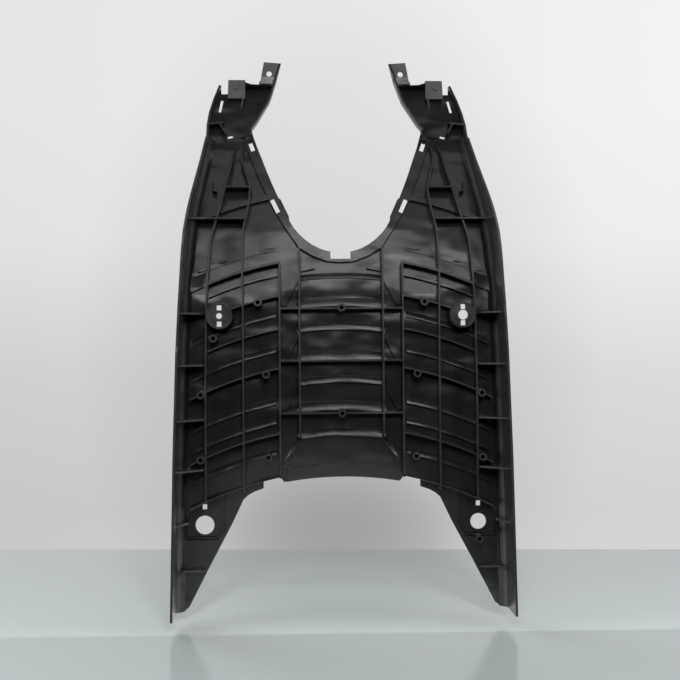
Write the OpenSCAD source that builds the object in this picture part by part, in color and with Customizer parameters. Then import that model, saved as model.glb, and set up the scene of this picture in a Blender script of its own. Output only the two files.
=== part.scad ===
// Scooter floorboard: one moulded panel with ribs, screw bosses, side skirts and two front horns.
// X runs across, +Y points to the front of the scooter, the tread faces +Z, and the skirts stand on z = 0.

/* [Panel] */
// Height of the tread above the lower edge of the skirts
deck_h = 52; // [44:1:60]
// Wall thickness of the moulding
wall = 2.4; // [2:0.1:3]
// Lean of the front ramp, in degrees
ramp_angle = 30; // [24:1:34]
// Radius of the bend between the flat and the ramp
bend_r = 280; // [240:10:320]
// Where the bend starts, measured forward of the middle
bend_y = 34; // [20:2:44]

/* [Ribs] */
// Thickness of the long ribs
rib_w = 2; // [1.6:0.1:2.6]
// Depth of the ribs under the panel
rib_h = 12; // [8:1:16]
// Depth of the tall walls round the front pockets
tall_h = 27; // [20:1:32]
// Depth of the grooves between the tread pads
groove_h = 3.5; // [2:0.5:5]
// Radius of the arcs that cross the tread
arc_r = 370; // [330:10:420]

/* [Screws] */
// Outside diameter of a screw boss
boss_d = 9; // [8:0.5:11]
// Blind hole in a screw boss
boss_bore = 4.6; // [3:0.2:5.4]
// Depth of a screw boss under the panel
boss_h = 15; // [12:1:20]
// Hole in each front horn
horn_bore = 7; // [5:0.5:8]
// Radius of the screw cups beside the feet
cup_r = 14.5; // [13:0.5:16]
// Depth of the screw cups under the panel
cup_h = 20; // [16:1:26]
// Hole in the cup on the +X side
cup_bore_a = 6.5; // [5:0.5:9]
// Hole in the cup on the -X side
cup_bore_b = 11; // [8:0.5:12]
// Hole in the tail on the +X side
tail_bore_a = 21; // [17:0.5:23]
// Hole in the tail on the -X side
tail_bore_b = 18; // [15:0.5:21]

/* [Hidden] */
$fn = 32;
bed = -60;
far = 420;
cup_at = [135, 26.5];
tail_at = [153.5, -206];
horn_at = [82.3, 335];
horn_y = 322;
box_z = 150;
shoulder = 8;
step_w = 2.2;
ramp_s = sin(ramp_angle);
ramp_c = cos(ramp_angle);
bend_z = deck_h + bend_r;
tail_end = -300;
front_end = 349.5;
bends = 12;
bend_step = ramp_angle / bends;

// Outer edge of the skirts, from the tail to the front lug.
side_pts = [[186, tail_end], [182.6, -127], [179, -13], [176.3, 38], [173, 90], [171.2, 116], [167.8, 144],
    [163.6, 174], [158.8, 206], [154.8, 238]];

// Edge of the front opening, from the notch to the foot of the horn.
gap_pts = [[11.3, 100], [32.3, 108.7], [48.9, 122.8], [57.7, 137], [64.5, 152], [71.2, 167], [77.4, 182],
    [83.6, 198], [89.3, 214], [95.3, 230], [100.6, 246.5], [102.3, 253.5]];

// Inner edge of the horn, from its foot to its tip.
horn_pts = [[102.3, 253.5], [96.3, 263], [87.4, 281], [81.8, 292], [78.2, 304], [75.4, 316], [67.4, 348]];

// Front ends of the panel beside the horn: the end wall, the box and the pointed lug.
front_pts = [[94.7, 326], [94.7, 318], [111, 318], [111, 320.5], [131.5, 320.5], [133.5, 306.5], [140.8, 306.5],
    [142.8, 320], [150, 298], [154.7, 278], [156, 259]];

// Line of the step behind the front opening.
rim_pts = [[112, 240], [107, 227], [94, 192.6], [79.5, 158], [63.8, 130], [46.6, 104], [31.6, 94.7], [15.8, 88.5],
    [-1, 87]];

// The outer and the inner long rib of one half.
rib_a = [[124.5, 207], [130, 180], [136, 150], [145.3, 114], [147.5, 80], [149.5, 42], [151, -45], [151, -180]];
rib_b = [[112.8, 213], [102, 177], [103.8, 154], [109, 126], [110.2, 80], [109.3, 28], [109.3, -168]];

// Outline of the pad round the hole in a tail.
tail_pad = [[131, -170], [150, -176], [166, -186], [174, -198], [174, -222], [139, -222], [129.5, -207]];

// Middles of the screw bosses.
boss_at = concat([[0, 35.3], [0, -82], [142, 1.9], [-151.6, -223]],
    [for (s = [-1, 1], p = [[92.6, 41.5], [84, -38.4], [156, -60.5], [82, -130], [156.5, -132]]) [s * p[0], p[1]]]);

// Height of the panel's upper face above the flat, at a distance y along the panel.
function rise(y) = y < bend_y ? 0
    : y < bend_y + bend_r * ramp_s ? bend_r - sqrt(bend_r * bend_r - (y - bend_y) * (y - bend_y))
    : bend_r * (1 - ramp_c) + (y - bend_y - bend_r * ramp_s) * ramp_s / ramp_c;

// Distance of the skirt's outer face from the middle, at a distance y along the panel.
function side_x(y) = lookup(y, [for (p = side_pts) [p[1], p[0]]]);

module both() {
    children();
    mirror([1, 0, 0])
        children();
}

// Side view of the panel line moved down by o, from the tail to the end of the ramp.
function line(o) = concat([[-far, deck_h - o]],
    [for (i = [0 : bends]) [bend_y + (bend_r + o) * sin(i * bend_step), bend_z - (bend_r + o) * cos(i * bend_step)]],
    [[bend_y + (bend_r + o) * ramp_s + 260 * ramp_c, bend_z - (bend_r + o) * ramp_c + 260 * ramp_s]]);

function flip(pts) = [for (i = [len(pts) - 1 : -1 : 0]) pts[i]];

// A layer that follows the panel, from the offset a down to the offset b.
module layer(a, b) {
    rotate([90, 0, 90])
        linear_extrude(2 * far, center = true)
            polygon(concat(line(a), flip(line(b))));
}

module tall(z0 = bed, z1 = far) {
    translate([0, 0, z0])
        linear_extrude(z1 - z0)
            children();
}

module strip(p, q, w) {
    translate(p)
        rotate(atan2(q[1] - p[1], q[0] - p[0]))
            translate([0, -w / 2])
                square([norm(q - p), w]);
}

module chain(pts, w) {
    for (i = [0 : len(pts) - 2])
        let (d = (pts[i + 1] - pts[i]) / norm(pts[i + 1] - pts[i]) * w / 6)
            strip(pts[i] - d, pts[i + 1] + d, w);
}

// Plan of a band that follows a tread arc, w long in y, between the lines x0 and x1.
module arc_band(y, w, x0, x1) {
    intersection() {
        difference() {
            translate([0, y + w / 2 - arc_r])
                circle(arc_r, $fn = 120);
            translate([0, y - w / 2 - arc_r])
                circle(arc_r, $fn = 120);
        }
        translate([x0, y - 90])
            square([x1 - x0, 120]);
    }
}

// Plan of one half of the panel.
module half_plan() {
    polygon(concat([[-1, 91], [11.3, 91]], gap_pts, [for (i = [1 : 5]) horn_pts[i]], [[73.5, 324]], front_pts,
        flip(side_pts), [[176, tail_end], [171, -296], [147.8, -251], [122.4, -203.3], [110.2, -177.5], [104.5, -172.5],
        [98, -169], [87.8, -165.3], [87.8, -156.5], [70.2, -152.3], [64, -159.6], [-1, -159.6]]));
}

module rear_cut() {
    translate([0, -153 - arc_r])
        circle(arc_r, $fn = 120);
}

module plan() {
    difference() {
        both()
            half_plan();
        intersection() {
            rear_cut();
            translate([-64, -200])
                square([128, 60]);
        }
    }
}

// Side view of a skirt: flat under the deck, then rising to the lug.
module skirt_side() {
    polygon(concat(line(0.5), [[85 + 110 * sin(40) + 300 * cos(40), 110 * (1 - cos(40)) + 300 * sin(40)]],
        [for (a = [40 : -5 : 0]) [85 + 110 * sin(a), 110 * (1 - cos(a))]], [[-far, 0]]));
}

module skirt() {
    intersection() {
        tall()
            polygon(concat(side_pts, [for (p = flip(side_pts)) p - [wall, 0]]));
        rotate([90, 0, 90])
            linear_extrude(far)
                skirt_side();
    }
}

// Plan of the long ribs on one half.
module long_ribs() {
    chain(rib_a, rib_w);
    chain(rib_b, rib_w);
    strip([68.7, 86], [68.7, -150], rib_w);
    strip([46.6, 103], [46.6, -107], rib_w);
    strip([129.5, 176.7], [102, 176.7], rib_w);
}

// Plan of the cross ribs on the side of one half.
module side_arcs() {
    arc_band(93, 2.8, 68.7, 149);
    for (y = [55.4, -25.2, -97.4, -146.2])
        arc_band(y, rib_w, 68.7, y > 0 ? 150 : 168);
}

// Plan of the tall walls: one across the wing, the rim of the horn, and the walls of the front pockets.
module tall_walls() {
    strip([107.5, 137.5], [168.5, 137.5], rib_w);
    chain([for (p = horn_pts) p + [wall / 2, 0]], wall);
    strip([75, 317], [112, 317], wall);
    chain([[113.5, 301], [116, 287], [119, 264], [124, 243], [101.5, 246]], rib_w);
    strip([138, 268], [155, 269], rib_w);
}

// Plan of the straight ribs across the middle.
module cross_ribs() {
    for (y = [34.7, -23.5, -81.8])
        translate([-69, y - rib_w / 2])
            square([138, rib_w]);
}

// Plan of the low ridges under the panel, each the back of a groove in the tread. g narrows them.
module ridges(g = 0) {
    for (r = [[43, 11], [15, 8], [-17, 11], [-44.5, 7.5], [-74, 11], [-103.5, 9]])
        arc_band(r[0], r[1] - 2 * g, -50 + g, 50 - g);
    arc_band(-148, 18 - 2 * g, -62 + g, 62 - g);
    for (y = [174, 112, 35.8, -3.9, -61.6, -84.3, -118.7])
        both()
            arc_band(y, 6.6 - 2 * g, 73 + g, 166 - g);
    both() {
        for (y = [72.8, 9.5, -44.5, -108.6])
            strip([48, y], [65, y - 34], 6.6 - 2 * g);
        difference() {
            polygon(concat(gap_pts, rim_pts, [[-1, 101], [11, 101]]));
            if (g > 0)
                chain(rim_pts, 2 * g);
        }
        if (g == 0) {
            polygon([[45, 91], [29, 80], [45, 76.5]]);
            polygon([[167, 69.6], [151, 76], [152.5, 59.7], [168, 53.3]]);
        }
    }
}

// One post that hangs from the panel at p, with a draft.
module post(p, r1, r2, h) {
    translate([p[0], p[1], deck_h + rise(p[1]) - h])
        cylinder(h - 1, r1, r2);
}

module bosses() {
    for (p = boss_at)
        post(p, boss_d / 2, boss_d / 2 + 0.4, boss_h + wall);
}

module boss_holes() {
    for (p = boss_at)
        translate([p[0], p[1], deck_h + rise(p[1]) - boss_h - wall - 1])
            cylinder(boss_h, boss_bore / 2, boss_bore / 2);
}

// One length of the shoulder between the skirt and the panel, d in from the corner and w wide.
module corner(i, d, w) {
    p = [side_pts[i][0], side_pts[i][1], deck_h + rise(side_pts[i][1])];
    q = [side_pts[i + 1][0], side_pts[i + 1][1], deck_h + rise(side_pts[i + 1][1])];
    l = norm(q - p);
    translate(p)
        rotate([0, -asin((q[2] - p[2]) / l), atan2(q[1] - p[1], q[0] - p[0])])
            rotate([90, 0, 90])
                translate([d, -d, -0.6])
                    linear_extrude(l + 1.2)
                        polygon([[0, 0], [w, 0], [0, -w]]);
}

// Short ribs between the skirt and the outer long rib.
module gussets() {
    for (g = [[29, 150], [-28, 150], [-88, 150], [-143, 150], [-202, 171], [-256, 176]])
        translate([0, g[0] + rib_w / 2, 0])
            rotate([90, 0, 0])
                linear_extrude(rib_w)
                    polygon([[g[1], deck_h - 1], [side_x(g[0]) - 1, deck_h - 1], [side_x(g[0]) - 1, 14],
                        [g[1], deck_h - wall - 9]]);
}

// The flat plate at the tip of a horn, with its own rim.
module horn() {
    z = deck_h + rise(horn_y);
    intersection() {
        tall(z - wall, z)
            polygon([[94.7, horn_y - 5], [88.8, front_end], [67.4, 348], horn_pts[5]]);
        translate([0, horn_y - 4, 0])
            cube([200, 60, 300]);
    }
    tall(z - 18, z - 1)
        strip([74.4, 325.5], [68.6, 348], wall);
}

// The closed box between the horn and the lug, open to the tread side.
module front_box() {
    tall(box_z, deck_h + rise(300))
        polygon([[111, 298], [111, 320.5], [131.5, 320.5], [132.5, 298]]);
    translate([123, 312, box_z - 1.6])
        cylinder(3, 3.4, 3.4);
}

module front_box_hollow() {
    tall(box_z + wall)
        polygon([[111 + wall, 298 + wall], [111 + wall, 320.5 - wall], [131.5 - wall, 320.5 - wall],
            [132.5 - wall, 298 + wall]]);
}

module cup() {
    translate([cup_at[0], cup_at[1], deck_h - cup_h])
        cylinder(cup_h - 0.5, cup_r, cup_r + 1.2);
}

// Hollow of a cup with its screw hole, two square slots and a ring in its face.
module cup_hollow(bore) {
    translate([cup_at[0], cup_at[1], deck_h - cup_h]) {
        translate([0, 0, wall])
            cylinder(cup_h, cup_r - wall, cup_r - wall + 1.2);
        translate([0, 0, -1])
            cylinder(2 * wall, bore / 2, bore / 2);
        for (s = [-1, 1])
            translate([-2.6, s * 9 - 2.8, -1])
                cube([5.2, 5.6, 2 * wall]);
        difference() {
            translate([0, 0, -1])
                cylinder(2, cup_r - 2, cup_r - 2);
            translate([0, 0, -1])
                cylinder(2, cup_r - 5.6, cup_r - 6.6);
        }
    }
}

// The pad in a tail stands up on the tread side and is hollow underneath.
module tail_raise() {
    tall(deck_h - 1, deck_h + groove_h) {
        polygon(tail_pad);
        chain(concat(tail_pad, [tail_pad[0], tail_pad[1]]), 2 * step_w);
    }
}

module tail_hollow(bore) {
    tall(deck_h - wall - 1, deck_h + groove_h - wall)
        polygon(tail_pad);
    translate([tail_at[0], tail_at[1], deck_h - 5])
        cylinder(15, bore / 2, bore / 2);
    translate([tail_at[0] - 2.5, -188.5, deck_h - 5])
        cube([5, 5.6, 15]);
}

// Through slots for clips, each at p, turned by a and w by l in size.
module slots() {
    for (c = [[101.8, 230.5, -20, 4.8, 11], [73.6, 153.6, -25, 4.8, 17.5], [140.8, 288.7, 8.5, 3.2, 17],
        [128, 245, 75, 3, 6]])
        translate([c[0], c[1], 0])
            rotate(c[2])
                translate([-c[3] / 2, -c[4] / 2, deck_h])
                    cube([c[3], c[4], 200]);
}

// One half of all that is added to the panel.
module half_extras() {
    skirt();
    for (i = [0 : len(side_pts) - 2])
        corner(i, wall - 0.4, shoulder + 0.4);
    gussets();
    horn();
    front_box();
    cup();
    tail_raise();
}

module floorboard() {
    color([0.06, 0.06, 0.065])
        translate([0, -(front_end + tail_end) / 2, 0])
        difference() {
            union() {
                intersection() {
                    layer(0, wall);
                    tall()
                        plan();
                }
                both()
                    half_extras();
                intersection() {
                    layer(wall / 2, wall + rib_h);
                    tall()
                        intersection() {
                            union() {
                                both() {
                                    long_ribs();
                                    side_arcs();
                                }
                                cross_ribs();
                            }
                            plan();
                        }
                }
                intersection() {
                    layer(wall / 2, wall + tall_h);
                    tall()
                        both()
                            intersection() {
                                tall_walls();
                                half_plan();
                            }
                }
                intersection() {
                    layer(wall / 2, wall + groove_h);
                    tall()
                        intersection() {
                            ridges();
                            plan();
                        }
                }
                bosses();
            }
            intersection() {
                layer(-5, groove_h);
                tall()
                    ridges(step_w);
            }
            both() {
                for (i = [0 : len(side_pts) - 2])
                    corner(i, -2, shoulder + 2 * wall - wall * 1.414 + 4);
                front_box_hollow();
                slots();
            }
            cup_hollow(cup_bore_a);
            tail_hollow(tail_bore_a);
            mirror([1, 0, 0]) {
                cup_hollow(cup_bore_b);
                tail_hollow(tail_bore_b);
            }
            both()
                translate([horn_at[0], horn_at[1], 100])
                    cylinder(100, horn_bore / 2, horn_bore / 2);
            boss_holes();
        }
}

floorboard();
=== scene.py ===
import math

import bpy
from mathutils import Matrix, Vector


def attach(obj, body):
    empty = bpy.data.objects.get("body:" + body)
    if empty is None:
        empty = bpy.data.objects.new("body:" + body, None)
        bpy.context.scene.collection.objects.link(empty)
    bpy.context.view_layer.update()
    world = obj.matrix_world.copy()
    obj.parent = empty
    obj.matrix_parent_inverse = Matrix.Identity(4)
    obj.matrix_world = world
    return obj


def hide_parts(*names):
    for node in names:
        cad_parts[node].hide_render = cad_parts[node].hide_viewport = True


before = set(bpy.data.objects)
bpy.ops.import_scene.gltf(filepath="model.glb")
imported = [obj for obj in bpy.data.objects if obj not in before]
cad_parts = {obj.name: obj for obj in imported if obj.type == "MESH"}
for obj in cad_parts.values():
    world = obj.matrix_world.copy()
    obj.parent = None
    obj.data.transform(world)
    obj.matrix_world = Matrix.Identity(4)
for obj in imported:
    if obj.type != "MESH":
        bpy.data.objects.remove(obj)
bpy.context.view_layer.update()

# The panel's lines in metres, as the solid has them
DECK = 0.052
WALL = 0.0024
GROOVE = 0.0035
GROOVE_STEP = 0.0022
GROOVE_LEAN = 0.0002
ARC_R = 0.370
ARC_REACH = 0.17
MIDDLE_HALF = 0.0502
BEND_R = 0.280
RAMP = math.radians(30)
# Plan drawings in mm have their own zero, this far behind the middle of the box
MIDDLE = 0.02475
BEND_Y = 0.034 - MIDDLE
BEND_END = BEND_Y + BEND_R * math.sin(RAMP)

# Tread arcs in mm: middle, width and depth of the ridge under the panel
MIDDLE_ARCS = [(43, 11, 3.5), (15, 8, 2.5), (-17, 11, 3.5), (-44.5, 7.5, 2.5), (-74, 11, 3.5),
               (-103.5, 9, 2.6)]
LOW_BAND = (112, 6.6, 0.6)
WING_ARCS = [LOW_BAND, (35.8, 6.6, 2.6), (-3.9, 6.6, 2.8), (-61.6, 6.6, 2.8), (-84.3, 6.6, 2.8),
             (-118.7, 6.6, 2.8)]
ADDED_RIDGE = (72.2, 5.6, 2.016)
RIDGE_FRONT = 0.3
COVE_STEEP = 40
COVE_LEVEL = 4

# How far a vertex may be from the floor of a ridge or a groove and still count as on it, in metres,
# and how far from its front and back edges, in mm
RIDGE_SLACK = 0.00025
GROOVE_SLACK = 0.00006
ARC_SLACK = 0.2

# The smaller forms start half-way into the wall; this and their widths are in mm
ROOT = WALL * 500
RIB = 2
ARC_RIB = 1.8
HOOK = 1.6
LINE = 1.4
SIDE_WALL = 2.4
TAB_PLAY = 0.02

# Edge of the front opening on one half, from the notch to the lower slot, in mm
OPENING = [(11.3, 99.5), (17.2, 100.8), (22.9, 102.8), (31.9, 107.5), (39.7, 113.4), (46.4, 119.8),
           (52.6, 127.6), (57.3, 135.6)]

# Walls of the solid that the moulding has lower, in plan on one half, in mm
HORN_EDGE = [(102.3, 253.5), (96.3, 263), (87.4, 281), (81.8, 292), (78.2, 304), (75.4, 316), (67.4, 348)]
POCKET_WALL = [(113.5, 301), (116, 287), (119, 264), (124, 243), (101.5, 246)]
FRONT_WALL = [(75, 317), (112, 317)]
FRONT_WALL_INNER_END = 79.5
LUG_WALL = [(138, 268), (155, 269)]
WING_WALL = [(107.5, 137.5), (168.5, 137.5)]
HORN_FOOT = 235
HORN_EDGE_START = 251.6
BOX_X = (110.8, 132.7)
BOX_Y = (297.8, 320.7)

# Their depths under the tread in metres, and the height at which the face of a box stays
WING_WALL_DEPTH = 0.0165
HORN_EDGE_DEPTH = 0.0144
DEEPEST_RIB = 0.0310
BOX_FACE = 0.150

# Faces that meet at less than this are shaded as one
SMOOTH = math.cos(math.radians(22))


# Shader building blocks

class Value:
    """A socket of a material that can be added and multiplied like a number."""

    def __init__(self, finish, socket):
        self.finish = finish
        self.socket = socket

    def _maths(self, operation, *values):
        return self.finish.make("ShaderNodeMath", {"operation": operation}, dict(enumerate(values)))["Value"]

    def __add__(self, other):
        return self._maths("ADD", self, other)

    def __radd__(self, other):
        return self._maths("ADD", other, self)

    def __sub__(self, other):
        return self._maths("SUBTRACT", self, other)

    def __rsub__(self, other):
        return self._maths("SUBTRACT", other, self)

    def __mul__(self, other):
        return self._maths("MULTIPLY", self, other)

    def __rmul__(self, other):
        return self._maths("MULTIPLY", other, self)


class Finish:
    """A material, or the world, whose nodes are all made by one method."""

    def __init__(self, holder):
        self.holder = holder
        self.holder.use_nodes = True
        self.tree = holder.node_tree
        self.tree.nodes.clear()

    def make(self, kind, settings=None, inputs=None):
        node = self.tree.nodes.new(kind)
        for key, setting in (settings or {}).items():
            if key == "stops":
                ramp = node.color_ramp
                while len(ramp.elements) < len(setting):
                    ramp.elements.new(0.5)
                for stop, (place, colour) in zip(ramp.elements, setting):
                    stop.position = place
                    stop.color = colour
            else:
                setattr(node, key, setting)
        for key, value in (inputs or {}).items():
            socket = node.inputs[key]
            if isinstance(value, Value):
                self.tree.links.new(value.socket, socket)
            else:
                socket.default_value = value
        return {out.name: Value(self, out) for out in node.outputs if out.enabled}

    def place(self):
        return self.make("ShaderNodeTexCoord")["Object"]

    def split(self, vector):
        return self.make("ShaderNodeSeparateXYZ", {}, {"Vector": vector})

    def stretched(self, scale):
        return self.make("ShaderNodeMapping", {}, {"Vector": self.place(), "Scale": scale})["Vector"]

    def noise(self, vector, scale, detail, rough=0.5, distortion=0.0):
        inputs = {"Vector": vector, "Scale": scale, "Detail": detail, "Roughness": rough,
                  "Distortion": distortion}
        return self.make("ShaderNodeTexNoise", {}, inputs)["Fac"]

    def limit(self, how, value, number):
        return self.make("ShaderNodeMath", {"operation": how}, {0: value, 1: number})["Value"]

    def ramp(self, value, stops):
        grey = [(place, (level, level, level, 1)) for place, level in stops]
        return self.make("ShaderNodeValToRGB", {"stops": grey}, {"Fac": value})["Color"]

    def blend(self, factor, first, second, how="MIX"):
        return self.make("ShaderNodeMix", {"data_type": "RGBA", "blend_type": how},
                         {0: factor, 6: first, 7: second})["Result"]

    def depth_under_tread(self):
        """How far a place lies under the tread, in metres, along the part's height."""
        spot = self.split(self.place())
        ahead = self.limit("MAXIMUM", spot["Y"] - BEND_Y, 0.0)
        bent = self.limit("MINIMUM", ahead, BEND_R * math.sin(RAMP))
        fall = self.make("ShaderNodeMath", {"operation": "SQRT"}, {0: BEND_R ** 2 - bent * bent})["Value"]
        return DECK + (BEND_R - fall) + (ahead - bent) * math.tan(RAMP) - spot["Z"]

    def front_only(self, shader):
        """Hides the back of a sheet, so that views from behind see past it."""
        back = self.make("ShaderNodeNewGeometry")["Backfacing"]
        clear = self.make("ShaderNodeBsdfTransparent")["BSDF"]
        return self.make("ShaderNodeMixShader", {}, {0: back, 1: shader, 2: clear})["Shader"]

    def surface(self, shader, output="ShaderNodeOutputMaterial"):
        self.make(output, {}, {"Surface": shader})
        return self.holder


def black_moulding():
    """Black polypropylene straight from the mould: satin, with faint flow marks and a fine grain.
    Ribs and bosses between the skirts are duller than the panel and painted darker as painted shade; the
    skirts are painted lighter as painted light."""
    f = Finish(bpy.data.materials.new("black_moulding"))
    place = f.place()
    clouds = f.noise(place, 14, 4, 0.6)
    streaks = f.noise(f.stretched((60, 9, 60)), 1.0, 3, 0.6, 0.6)
    grain = f.noise(place, 1500, 2, 0.6)
    waves = f.noise(f.stretched((21, 36, 21)), 1.0, 1, 0.4)
    panel = f.blend(f.ramp(clouds * 0.6 + streaks * 0.4, [(0.35, 0.0), (0.72, 1.0)]),
                    (0.0072, 0.0075, 0.0082, 1), (0.0140, 0.0144, 0.0154, 1))
    across = f.split(place)["X"]
    between_skirts = f.ramp(across * across * 40.0, [(0.90, 1.0), (1.0, 0.0)])
    deep = f.ramp(f.depth_under_tread() * 40.0, [(0.24, 0.0), (0.34, 1.0)])
    # Painted shade and painted light: deep ribs and bosses between the skirts get a darker colour as painted
    # shade, deep skirt walls a lighter one as painted light
    skirt_painted_light, rib_painted_shade = (0.036, 0.0368, 0.0385, 1), (0.0030, 0.0031, 0.0034, 1)
    colour = f.blend(deep, panel, f.blend(between_skirts, skirt_painted_light, rib_painted_shade))
    rough = 0.13 + clouds * 0.06 + streaks * 0.06 + grain * 0.02 + deep * between_skirts * 0.36
    soft_edge = f.make("ShaderNodeBevel", {"samples": 4}, {"Radius": 0.0006})["Normal"]
    height = grain * 0.00002 + streaks * 0.00008 + clouds * 0.0002 + waves * 0.0036
    normal = f.make("ShaderNodeBump", {}, {"Strength": 1.0, "Distance": 1.0, "Height": height,
                                           "Normal": soft_edge})["Normal"]
    plastic = {"Base Color": colour, "Roughness": rough, "Normal": normal, "IOR": 1.49}
    return f.surface(f.make("ShaderNodeBsdfPrincipled", {}, plastic)["BSDF"])


# Places on the bent panel

def bend_normal(y):
    """The way that is square to the tread, at y."""
    lean = min(max((y - BEND_Y) / BEND_R, 0.0), math.sin(RAMP))
    return Vector((0.0, -lean, math.sqrt(1 - lean * lean)))


def rise(y):
    """Height of the tread above the flat, at y."""
    if y < BEND_Y:
        return 0.0
    if y < BEND_END:
        return BEND_R - math.sqrt(BEND_R ** 2 - (y - BEND_Y) ** 2)
    return BEND_R * (1 - math.cos(RAMP)) + (y - BEND_END) * math.tan(RAMP)


def height_at(y, depth):
    """Height of a place that lies at a depth under the tread, at y."""
    return DECK + rise(y) - depth / bend_normal(y).z


def depth_below(point):
    """How far a point lies under the tread, square to it."""
    turn = math.atan2(point.y - BEND_Y, DECK + BEND_R - point.z)
    if point.y < BEND_Y:
        return DECK - point.z
    if turn < RAMP:
        return math.hypot(point.y - BEND_Y, point.z - DECK - BEND_R) - BEND_R
    return (DECK + rise(point.y) - point.z) * math.cos(RAMP)


def arc_place(x, y):
    """Where the tread arc through a point crosses the middle of the panel, in mm."""
    return (y + MIDDLE + ARC_R - math.sqrt(ARC_R ** 2 - x * x)) * 1000


def on_half(point):
    """A point's place in the plan drawing of one half, in mm."""
    return Vector((abs(point.x) * 1000, (point.y + MIDDLE) * 1000))


def gap_to(spot, path):
    """Shortest distance in plan from a spot to a path, in mm."""
    gaps = []
    for start, end in zip(path, path[1:]):
        corner, run = Vector(start), Vector(end) - Vector(start)
        along = min(max((spot - corner).dot(run) / run.length_squared, 0), 1)
        gaps.append((spot - corner - run * along).length)
    return min(gaps)


def arcs_at(x):
    return MIDDLE_ARCS if abs(x) < MIDDLE_HALF else WING_ARCS


def ridge_at(x, place):
    """Front and back of the sloped ridge that crosses a place, in mm, or None."""
    added = [ADDED_RIDGE] if abs(x) < MIDDLE_HALF else []
    for arc_row in arcs_at(x) + added:
        middle, width, _ = arc_row
        if arc_row != LOW_BAND and abs(place - middle) < width / 2:
            return middle + width / 2, middle - width / 2
    return None


# The moulding: a copy of the solid's skin, trimmed, sloped and given its smaller forms

def select_only(*pieces):
    bpy.ops.object.select_all(action="DESELECT")
    for piece in pieces:
        piece.select_set(True)
    bpy.context.view_layer.objects.active = pieces[-1]


def in_edit_mode(piece, shape):
    """Runs one mesh operation on the whole of a piece."""
    select_only(piece)
    bpy.ops.object.mode_set(mode="EDIT")
    bpy.ops.mesh.select_all(action="SELECT")
    shape()
    bpy.ops.object.mode_set(mode="OBJECT")


def merged_copy(node):
    skin = node.copy()
    skin.data = node.data.copy()
    skin.name = "moulding"
    bpy.context.scene.collection.objects.link(skin)
    in_edit_mode(skin, lambda: bpy.ops.mesh.remove_doubles(threshold=0.00001))
    return skin


def slab(outline, near, deep):
    """A flat form under the panel: its outline in plan and the depths of its two faces, in mm.
    A depth is a number, or a function of the place in plan."""
    count = len(outline)
    bpy.ops.object.select_all(action="DESELECT")
    bpy.ops.mesh.primitive_circle_add(vertices=count, fill_type="NGON")
    piece = bpy.context.object

    def set_depth(first, depth):
        for vertex, (x, y) in zip(piece.data.vertices[first:first + count], outline):
            down = depth(x, y) if callable(depth) else depth
            ahead = y / 1000 - MIDDLE
            vertex.co = (x / 1000, ahead, height_at(ahead, down / 1000))

    set_depth(0, near)
    down_a_little = {"value": (0, 0, -0.002)}
    in_edit_mode(piece, lambda: bpy.ops.mesh.extrude_region_move(TRANSFORM_OT_translate=down_a_little))
    set_depth(count, deep)
    in_edit_mode(piece, lambda: bpy.ops.mesh.normals_make_consistent(inside=False))
    return piece


def bar(path, width, near, deep):
    """A rib along a path in plan."""
    left, right = [], []
    for i, (x, y) in enumerate(path):
        before, after = path[max(i - 1, 0)], path[min(i + 1, len(path) - 1)]
        along = Vector((after[0] - before[0], after[1] - before[1])).normalized() * width / 2
        left.append((x - along.y, y + along.x))
        right.append((x + along.y, y - along.x))
    return slab(left + right[::-1], near, deep)


def arc(place, start, end, count=9):
    """Spots along a tread arc, from x to x, in mm."""
    radius = ARC_R * 1000
    spots = [start + (end - start) * i / (count - 1) for i in range(count)]
    return [(x, place - radius + math.sqrt(radius ** 2 - x * x)) for x in spots]


def round_the_opening(skin):
    """Trims the edge of the front opening to its full curve."""
    half = OPENING + [(50, 150)]
    above_the_tread, below_the_ribs = -30, 60
    cutter = slab(half + [(-x, y) for x, y in half[::-1]], above_the_tread, below_the_ribs)
    trim = skin.modifiers.new("trim", "BOOLEAN")
    trim.operation = "DIFFERENCE"
    trim.solver = "EXACT"
    trim.object = cutter
    select_only(skin)
    bpy.ops.object.modifier_apply(modifier="trim")
    bpy.data.objects.remove(cutter, do_unlink=True)


def slope_the_ridges(mesh):
    """Each ridge under the panel, and the groove above it, becomes a slope with a steep back."""
    for vertex in mesh.vertices:
        point = vertex.co
        depth = depth_below(point)
        under = abs(depth - WALL - GROOVE) < RIDGE_SLACK
        over = abs(depth - GROOVE) < GROOVE_SLACK
        if not (under or over) or abs(point.x) > ARC_REACH:
            continue
        place = arc_place(point.x, point.y)
        inset = GROOVE_STEP * 1000 if over else 0
        for middle, width, deep in arcs_at(point.x):
            front, back = middle + width / 2 - inset, middle - width / 2 + inset
            if back - ARC_SLACK < place < front + ARC_SLACK:
                share = min(max((front - place) / (front - back), 0), 1)
                slope = (RIDGE_FRONT + share * (deep - RIDGE_FRONT)) / 1000
                # The groove is a little deeper than the ridge at its front, and shallower at its back
                wanted = slope + (WALL if under else GROOVE_LEAN * (1 - 2 * share))
                vertex.co = point + bend_normal(point.y) * (depth - wanted)
                break


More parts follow.
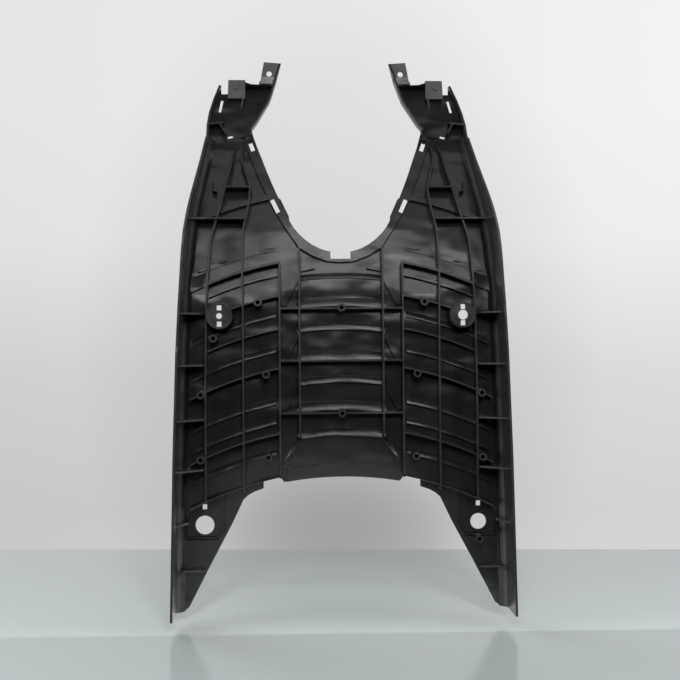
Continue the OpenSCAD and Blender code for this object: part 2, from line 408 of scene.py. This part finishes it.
def lower_the_walls(mesh):
    """The horns have no pocket walls and a lower edge, and the wall across a wing is lower."""
    wing_wall_reach, wall_reach, edge_reach = 1.3, 1.8, 3.4
    wing_wall_foot, edge_foot, panel_side = 0.020, 0.018, 0.0045
    for vertex in mesh.vertices:
        point, spot = vertex.co, on_half(vertex.co)
        depth = depth_below(point)
        if gap_to(spot, WING_WALL) < wing_wall_reach and wing_wall_foot < depth < DEEPEST_RIB:
            point.z = height_at(point.y, WING_WALL_DEPTH)
        if spot.y < HORN_FOOT or not panel_side < depth < DEEPEST_RIB:
            continue
        in_box = BOX_X[0] < spot.x < BOX_X[1] and BOX_Y[0] < spot.y < BOX_Y[1]
        near_front = gap_to(spot, FRONT_WALL) < wall_reach and spot.x > FRONT_WALL_INNER_END
        near_wall = near_front or gap_to(spot, POCKET_WALL) < wall_reach
        on_edge = gap_to(spot, HORN_EDGE) < edge_reach and depth > edge_foot and spot.y > HORN_EDGE_START
        if in_box and near_wall:
            point.z = max(point.z, BOX_FACE)
        elif in_box:
            continue
        elif on_edge:
            point.z = height_at(point.y, HORN_EDGE_DEPTH)
        elif near_wall or gap_to(spot, LUG_WALL) < wall_reach:
            point.z = height_at(point.y, WALL)


def mirrored(piece):
    other = piece.copy()
    other.data = piece.data.copy()
    bpy.context.scene.collection.objects.link(other)
    for vertex in other.data.vertices:
        vertex.co.x = -vertex.co.x
    other.data.flip_normals()
    return other


def rib_end(path, fall):
    """The end of a long rib at the foot of a horn, whose lower edge runs out towards the front."""
    start = path[0][1]
    return bar(path, RIB, ROOT, lambda x, y: HORN_EDGE_DEPTH * 1000 - (y - start) * fall)


def small_forms():
    """The smaller forms of one half that the solid leaves out."""
    lug_line = [(153.5, 232), (153.7, 247), (154.2, 258), (153, 277), (148.6, 297), (142.5, 317)]
    tail_pad = [(136, -168), (155, -176.5), (168, -184), (173, -191), (173.5, -219.6), (140.4, -219.6),
                (131.4, -206)]
    slot_tab = [(57, 135), (57.6, 135.4), (57.8, 140.9), (62.3, 150.7), (67.2, 161.6), (70.4, 164.5),
                (72, 168.4), (67.2, 156), (60.8, 141.5)]

    def lug_depth(x, y):
        rear_depth, front_depth, start, length = 24, 10, 232, 50
        return rear_depth - (rear_depth - front_depth) * min(max(y - start, 0), length) / length

    pocket_brace = bar([(139.8, 261), (133.3, 248.3)], RIB, ROOT, 14)
    clip_hook = bar([(146, 183.5), (145.2, 173.5), (140.4, 171.6)], HOOK, ROOT, 9)
    lug_wall = bar(lug_line, SIDE_WALL, ROOT, lug_depth)
    lug_strip = bar([(136, 262.5), (155, 260.5)], SIDE_WALL, ROOT, 14)
    rib_ends = [rib_end([(124.5, 206), (123, 219), (120.6, 232)], 0.24),
                rib_end([(112.8, 211), (112.6, 221), (111.4, 231)], 0.30)]
    low_arcs = [bar(arc(place, 68.7, 150), ARC_RIB, ROOT, depth) for place, depth in ((18.6, 9), (79, 7))]
    tail_rib = bar([(153, -255), (176.5, -255)], RIB, ROOT, 10)
    tail_lines = [bar([(174.8, -160), (176.5, -253)], LINE, ROOT, 5),
                  bar([(179.3, -257), (179.8, -296)], LINE, ROOT, 5),
                  bar(tail_pad, LINE, ROOT, 4.2)]
    tab = slab(slot_tab, GROOVE * 1000 + TAB_PLAY, (GROOVE + WALL) * 1000 - TAB_PLAY)
    return [pocket_brace, clip_hook, lug_wall, lug_strip, *rib_ends, *low_arcs, tail_rib, *tail_lines, tab]


def added_ridge():
    """The ridge across the middle ahead of the others, which the solid leaves out."""
    middle, width, deep = ADDED_RIDGE
    front, back = middle + width / 2, middle - width / 2
    outline = arc(front, -45, 45, 13) + arc(back, -45, 45, 13)[::-1]

    def depth(x, y):
        behind_front = front - arc_place(x / 1000, y / 1000 - MIDDLE)
        return WALL * 1000 + 0.1 + min(max(behind_front, 0), width) * deep / width

    return slab(outline, ROOT, depth)


def add_forms(skin):
    halves = small_forms()
    select_only(added_ridge(), *halves, *[mirrored(piece) for piece in halves], skin)
    bpy.ops.object.join()


def cove_normal(point, ridge):
    """The slope of a ridge is a cove: steep at its front edge and nearly level at its back."""
    front, back = ridge
    share = min(max((front - arc_place(point.x, point.y)) / (front - back), 0), 1)
    tilt = math.radians(COVE_STEEP - (COVE_STEEP - COVE_LEVEL) * share)
    up = bend_normal(point.y)
    ahead = Vector((point.x / ARC_R, math.sqrt(1 - (point.x / ARC_R) ** 2), 0))
    ahead = (ahead - up * ahead.dot(up)).normalized()
    return ahead * math.sin(tilt) - up * math.cos(tilt)


def drawn_normal(face):
    """The formula for a face's normals where it belongs to a ridge's slope or to the bend, or None."""
    centre = face.center
    side = face.normal.dot(bend_normal(centre.y))
    depth = depth_below(centre)
    place = arc_place(centre.x, centre.y) if abs(centre.x) < ARC_REACH else math.inf
    ridge = ridge_at(centre.x, place)
    deepest_ridge, deepest_band, past_bend = 0.0060, 0.005, 0.02
    if ridge and -0.992 < side < -0.80 and WALL < depth < deepest_ridge:
        return lambda point: cove_normal(point, ridge)
    in_bend = BEND_Y - past_bend < centre.y < BEND_END + past_bend
    on_bend = in_bend and abs(side) > 0.993 and abs(face.normal.x) < 0.02
    on_band = abs(place - LOW_BAND[0]) < 4 and abs(side) > 0.9 and depth < deepest_band
    if on_bend or on_band:
        return lambda point: bend_normal(point.y) * math.copysign(1, side)
    return None


def shade(skin):
    """Faces that meet softly are shaded as one, by their areas, and drawn surfaces by their formulas."""
    select_only(skin)
    bpy.ops.object.shade_smooth_by_angle(angle=math.radians(28))
    mesh = skin.data
    around = [[] for _ in mesh.vertices]
    for face in mesh.polygons:
        for vertex in face.vertices:
            around[vertex].append((face.normal.copy(), face.area))
    normals = [None] * len(mesh.loops)
    for face in mesh.polygons:
        drawn = drawn_normal(face)
        for loop in face.loop_indices:
            vertex = mesh.loops[loop].vertex_index
            if drawn:
                normals[loop] = drawn(mesh.vertices[vertex].co)
                continue
            near = [normal * area for normal, area in around[vertex] if normal.dot(face.normal) > SMOOTH]
            normals[loop] = sum(near, Vector()).normalized() if near else face.normal.copy()
    mesh.normals_split_custom_set(normals)


def build_moulding():
    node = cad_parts["floorboard"]
    skin = merged_copy(node)
    round_the_opening(skin)
    slope_the_ridges(skin.data)
    lower_the_walls(skin.data)
    in_edit_mode(skin, lambda: bpy.ops.mesh.dissolve_degenerate(threshold=0.000005))
    add_forms(skin)
    shade(skin)
    plastic = black_moulding()
    for piece in (skin, node):
        piece.data.materials.clear()
        piece.data.materials.append(plastic)
    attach(skin, "root")
    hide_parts("floorboard")


# The studio

def sheet(name, corners, material):
    """A flat sheet with its four corners in turn, that casts no shadow."""
    bpy.ops.object.select_all(action="DESELECT")
    bpy.ops.mesh.primitive_plane_add(size=1, location=(0, 0, 0))
    piece = bpy.context.object
    piece.name = name
    for vertex, corner in zip((0, 1, 3, 2), corners):
        piece.data.vertices[vertex].co = corner
    piece.data.materials.append(material)
    piece.visible_shadow = False
    return piece


def floor_paint(name, colour, gloss):
    f = Finish(bpy.data.materials.new(name))
    inputs = {"Base Color": colour, "Roughness": gloss, "Specular IOR Level": 0.5}
    return f.surface(f.front_only(f.make("ShaderNodeBsdfPrincipled", {}, inputs)["BSDF"]))


def wall_with_painted_light():
    """The wall behind the part glows pale grey with painted light: darker downwards and to the left as
    painted light falloff, with painted shadow round the part and between the tails.
    """
    f = Finish(bpy.data.materials.new("wall_with_painted_light"))
    spot = f.split(f.place())
    across, height = spot["X"], spot["Y"]
    # Painted light falloff: darker downwards, and darker to the left
    level = f.ramp(height * 0.8 + 0.5,
                   [(0.22, 0.600), (0.30, 0.585), (0.46, 0.640), (0.62, 0.770), (0.78, 0.800)])
    side = f.ramp(across * 0.8 + 0.5, [(0.05, 0.87), (0.5, 0.93), (0.95, 1.0)])
    # Painted shadow on the wall round the part and, lower down, between the tails
    above = height + 0.02
    shadow_round_part = f.ramp((across * across * 3.2 + above * above * 1.4) * 2.0,
                        [(0.0, 0.86), (0.45, 0.90), (1.0, 1.0)])
    low_x, low_y = across * 5.2, (height + 0.29) * 8.0
    shadow_between_tails = f.ramp(low_x * low_x + low_y * low_y, [(0.0, 0.66), (0.5, 0.80), (1.0, 1.0)])
    grey = level
    for part in (side, shadow_round_part, shadow_between_tails):
        grey = f.blend(1.0, grey, part, "MULTIPLY")
    glow = f.make("ShaderNodeEmission", {}, {"Color": grey, "Strength": 1.12})["Emission"]
    return f.surface(f.front_only(glow))


def card_cloth():
    """Black cloth on the card beyond the horns, which keeps the ramp from shining all over."""
    f = Finish(bpy.data.materials.new("dark_card_cloth"))
    weave = f.noise(f.place(), 300, 2)
    black = f.blend(weave, (0.004, 0.004, 0.004, 1), (0.008, 0.008, 0.008, 1))
    return f.surface(f.make("ShaderNodeBsdfDiffuse", {}, {"Color": black})["BSDF"])


def studio_air():
    """Soft light from all sides, with a pale grey that only the camera sees."""
    f = Finish(bpy.data.worlds.new("studio"))
    camera_ray = f.make("ShaderNodeLightPath")["Is Camera Ray"]
    soft_light = {"Color": (0.9, 0.95, 1.0, 1), "Strength": 0.33}
    around = f.make("ShaderNodeBackground", {}, soft_light)["Background"]
    seen = f.make("ShaderNodeBackground", {}, {"Color": (0.80, 0.81, 0.81, 1)})["Background"]
    mixed = f.make("ShaderNodeMixShader", {}, {0: camera_ray, 1: around, 2: seen})["Shader"]
    return f.surface(mixed, "ShaderNodeOutputWorld")


def lamp(name, at, aim, width, height, power):
    data = bpy.data.lights.new(name, "AREA")
    data.shape = "RECTANGLE"
    data.size = width
    data.size_y = height
    data.energy = power
    light = bpy.data.objects.new(name, data)
    bpy.context.scene.collection.objects.link(light)
    light.location = at
    light.rotation_euler = (Vector(aim) - Vector(at)).to_track_quat("-Z", "Y").to_euler()


def build_lamps():
    """Narrow panels in front light the bent wings and the ridge slopes, and large ones the rest."""
    lamp("front_panel_left", (0.160, 0.47, -1.15), (0.08, 0.05, 0.06), 0.12, 0.22, 4.6)
    lamp("front_panel_right", (-0.225, 0.47, -1.15), (-0.08, 0.05, 0.06), 0.12, 0.22, 4.9)
    lamp("slope_panel", (-0.05, 0.86, -1.03), (0, 0, 0.05), 0.26, 0.15, 5.2)
    lamp("side_panel_left", (1.2, 0.05, -0.30), (0, 0, 0.04), 0.5, 0.5, 7)
    lamp("side_panel_right", (-1.2, 0.05, -0.30), (0, 0, 0.04), 0.5, 0.5, 7)
    lamp("upper_key", (-0.8, -0.9, 1.5), (0, 0, 0.05), 1.0, 1.0, 26)
    lamp("upper_fill", (1.2, 0.9, 1.3), (0, 0, 0.05), 1.2, 1.2, 16)


def build_studio(camera):
    """A wall square to the camera, the floor that the tails touch, and a floor for views from above."""
    eye = camera.matrix_world
    turn = eye.to_3x3().to_4x4()
    wall_away, floor_height = 1.444, -0.3128
    wall_reach, floor_reach, floor_start = 3, 2, 0.2

    def sheet_at(name, spots, material):
        """A sheet whose corners are given as right, up and away from the camera."""
        corners = [eye @ Vector((x, y, -away)) for x, y, away in spots]
        middle = sum(corners, Vector()) / 4
        piece = sheet(name, [turn.inverted() @ (corner - middle) for corner in corners], material)
        piece.matrix_world = Matrix.Translation(middle) @ turn
        return piece

    wall = sheet_at("wall", [(-wall_reach, -wall_reach, wall_away), (wall_reach, -wall_reach, wall_away),
                             (wall_reach, wall_reach, wall_away), (-wall_reach, wall_reach, wall_away)],
                    wall_with_painted_light())
    wall.visible_diffuse = False
    standing = sheet_at("standing_floor", [(-floor_reach, floor_height, wall_away),
                                           (-floor_reach, floor_height, floor_start),
                                           (floor_reach, floor_height, floor_start),
                                           (floor_reach, floor_height, wall_away)],
                        floor_paint("standing_floor", (0.40, 0.440, 0.436, 1), 0.16))
    standing.visible_diffuse = False
    standing.visible_glossy = False
    sheet("floor", [(-4, -4, 0), (4, -4, 0), (4, 4, 0), (-4, 4, 0)],
          floor_paint("floor", (0.8, 0.8, 0.8, 1), 0.5))
    card_y, card_x, card_low, card_high = 0.62, 0.5, -0.45, 0.25
    card = sheet("dark_card", [(-card_x, card_y, card_low), (card_x, card_y, card_low),
                               (card_x, card_y, card_high), (-card_x, card_y, card_high)], card_cloth())
    card.visible_camera = False
    build_lamps()
    bpy.context.scene.world = studio_air()
    bpy.context.scene.view_settings.view_transform = "Standard"


def build_camera():
    """Below the part and looking up, with the scooter's front at the top of the picture."""
    data = bpy.data.cameras.new("camera")
    data.sensor_width = 36
    data.lens = 51.2
    camera = bpy.data.objects.new("camera", data)
    bpy.context.scene.collection.objects.link(camera)
    eye = Vector((0.0489, -0.0415, -1.0346))
    pitch, yaw, roll = 0.0153, 0.0437, -0.0076
    turn = Matrix.Rotation(pitch, 3, "X") @ Matrix.Rotation(yaw, 3, "Y") @ Matrix.Rotation(roll, 3, "Z")
    right, up, ahead = -turn[0], turn[1], turn[2]
    facing = Matrix((right, up, -ahead)).transposed()
    camera.matrix_world = Matrix.Translation(eye) @ facing.to_4x4()
    bpy.context.scene.camera = camera
    bpy.context.view_layer.update()
    return camera


build_moulding()
build_studio(build_camera())
